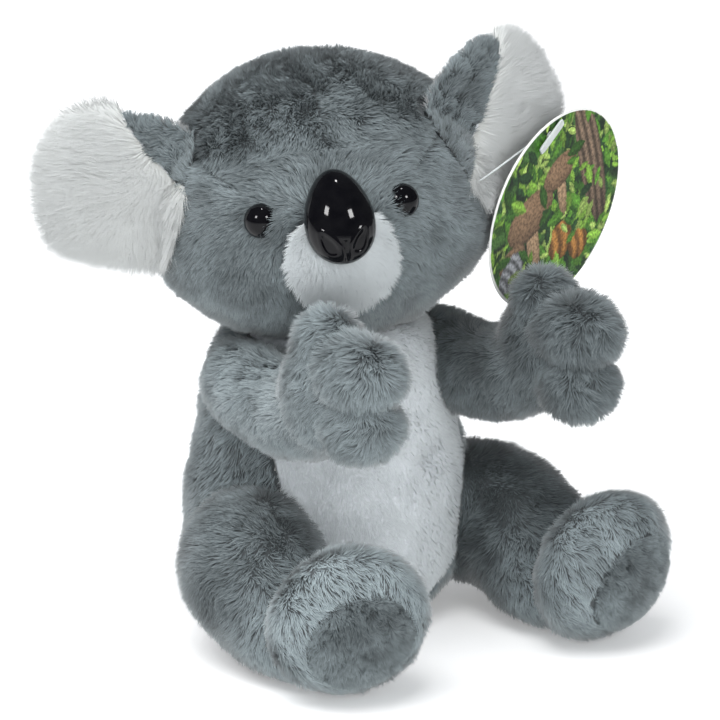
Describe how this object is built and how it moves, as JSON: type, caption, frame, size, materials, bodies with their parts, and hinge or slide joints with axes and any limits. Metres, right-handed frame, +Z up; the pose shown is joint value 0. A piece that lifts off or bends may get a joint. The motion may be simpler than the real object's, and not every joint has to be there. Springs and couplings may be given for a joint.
{
  "type": "plush koala",
  "caption": "Sitting stuffed koala of grey and white plush with moulded eyes and nose, mitten paws held forward, round feet turned up, and a card tag hung at one ear.",
  "frame": {"origin": "middle of the flat under the body, on which the toy sits", "axes": "+X to the koala's own left, +Y to its back, +Z up"},
  "size_m": [0.17, 0.1414, 0.1806],
  "materials": {
    "grey_plush": "matte",
    "white_plush": "matte",
    "white_ear_pile": "matte",
    "fibre_filling": "matte",
    "pouch_cloth": "matte",
    "black_moulding": "gloss",
    "washer_plastic": "satin",
    "printed_card": "satin",
    "clear_fastener": "satin"
  },
  "bodies": {
    "body": {"body_cover": "grey_plush", "belly_panel": "white_plush", "body_filling": "fibre_filling", "seat_pellet_pouch": "pouch_cloth"},
    "head": {"head_cover": "grey_plush", "muzzle_panel": "white_plush", "head_filling": "fibre_filling", "nose": "black_moulding", "nose_washer": "washer_plastic", "eye_left": "black_moulding", "eye_left_washer": "washer_plastic", "eye_right": "black_moulding", "eye_right_washer": "washer_plastic", "tag_fastener": "clear_fastener"},
    "ear_left": {"ear_back_left": "grey_plush", "ear_front_left": "white_ear_pile"},
    "ear_right": {"ear_back_right": "grey_plush", "ear_front_right": "white_ear_pile"},
    "tag": {"hang_tag": "printed_card"},
    "arm_left": {"arm_cover_left": "grey_plush", "arm_filling_left": "fibre_filling"},
    "arm_right": {"arm_cover_right": "grey_plush", "arm_filling_right": "fibre_filling"},
    "leg_left": {"leg_cover_left": "grey_plush", "sole_panel_left": "grey_plush", "leg_filling_left": "fibre_filling"},
    "leg_right": {"leg_cover_right": "grey_plush", "sole_panel_right": "grey_plush", "leg_filling_right": "fibre_filling"}
  },
  "joints": [
    {"name": "neck_turn", "type": "hinge", "parent": "body", "child": "head", "pos_m": [0, 0, 0.092], "axis": [0, 0, 1], "range_deg": [-6, 40], "stiffness_Nm_per_rad": 0.15},
    {"name": "ear_flap_left", "type": "hinge", "parent": "head", "child": "ear_left", "pos_m": [0.02838, -0.03063, 0.14218], "axis": [-0.6021, -0.0863, 0.7937], "range_deg": [-12, 12], "stiffness_Nm_per_rad": 0.06},
    {"name": "ear_flap_right", "type": "hinge", "parent": "head", "child": "ear_right", "pos_m": [-0.04734, 0.00879, 0.1317], "axis": [-0.0409, 0.1366, -0.9898], "range_deg": [-12, 12], "stiffness_Nm_per_rad": 0.06},
    {"name": "tag_swing", "type": "hinge", "parent": "head", "child": "tag", "pos_m": [0.0542, -0.0379, 0.1461], "axis": [0.3401, -0.9345, -0.1045], "range_deg": [-6, 12]},
    {"name": "shoulder_left", "type": "hinge", "parent": "body", "child": "arm_left", "pos_m": [0.032, -0.005, 0.077], "axis": [-1, 0, 0], "range_deg": [-10, 6], "stiffness_Nm_per_rad": 0.2},
    {"name": "shoulder_right", "type": "hinge", "parent": "body", "child": "arm_right", "pos_m": [-0.032, -0.005, 0.077], "axis": [-1, 0, 0], "range_deg": [-10, 6], "stiffness_Nm_per_rad": 0.2},
    {"name": "hip_left", "type": "hinge", "parent": "body", "child": "leg_left", "pos_m": [0.028, -0.002, 0.027], "axis": [-1, 0, 0], "range_deg": [0, 14], "stiffness_Nm_per_rad": 0.25},
    {"name": "hip_right", "type": "hinge", "parent": "body", "child": "leg_right", "pos_m": [-0.028, -0.002, 0.027], "axis": [-1, 0, 0], "range_deg": [0, 14], "stiffness_Nm_per_rad": 0.25}
  ]
}
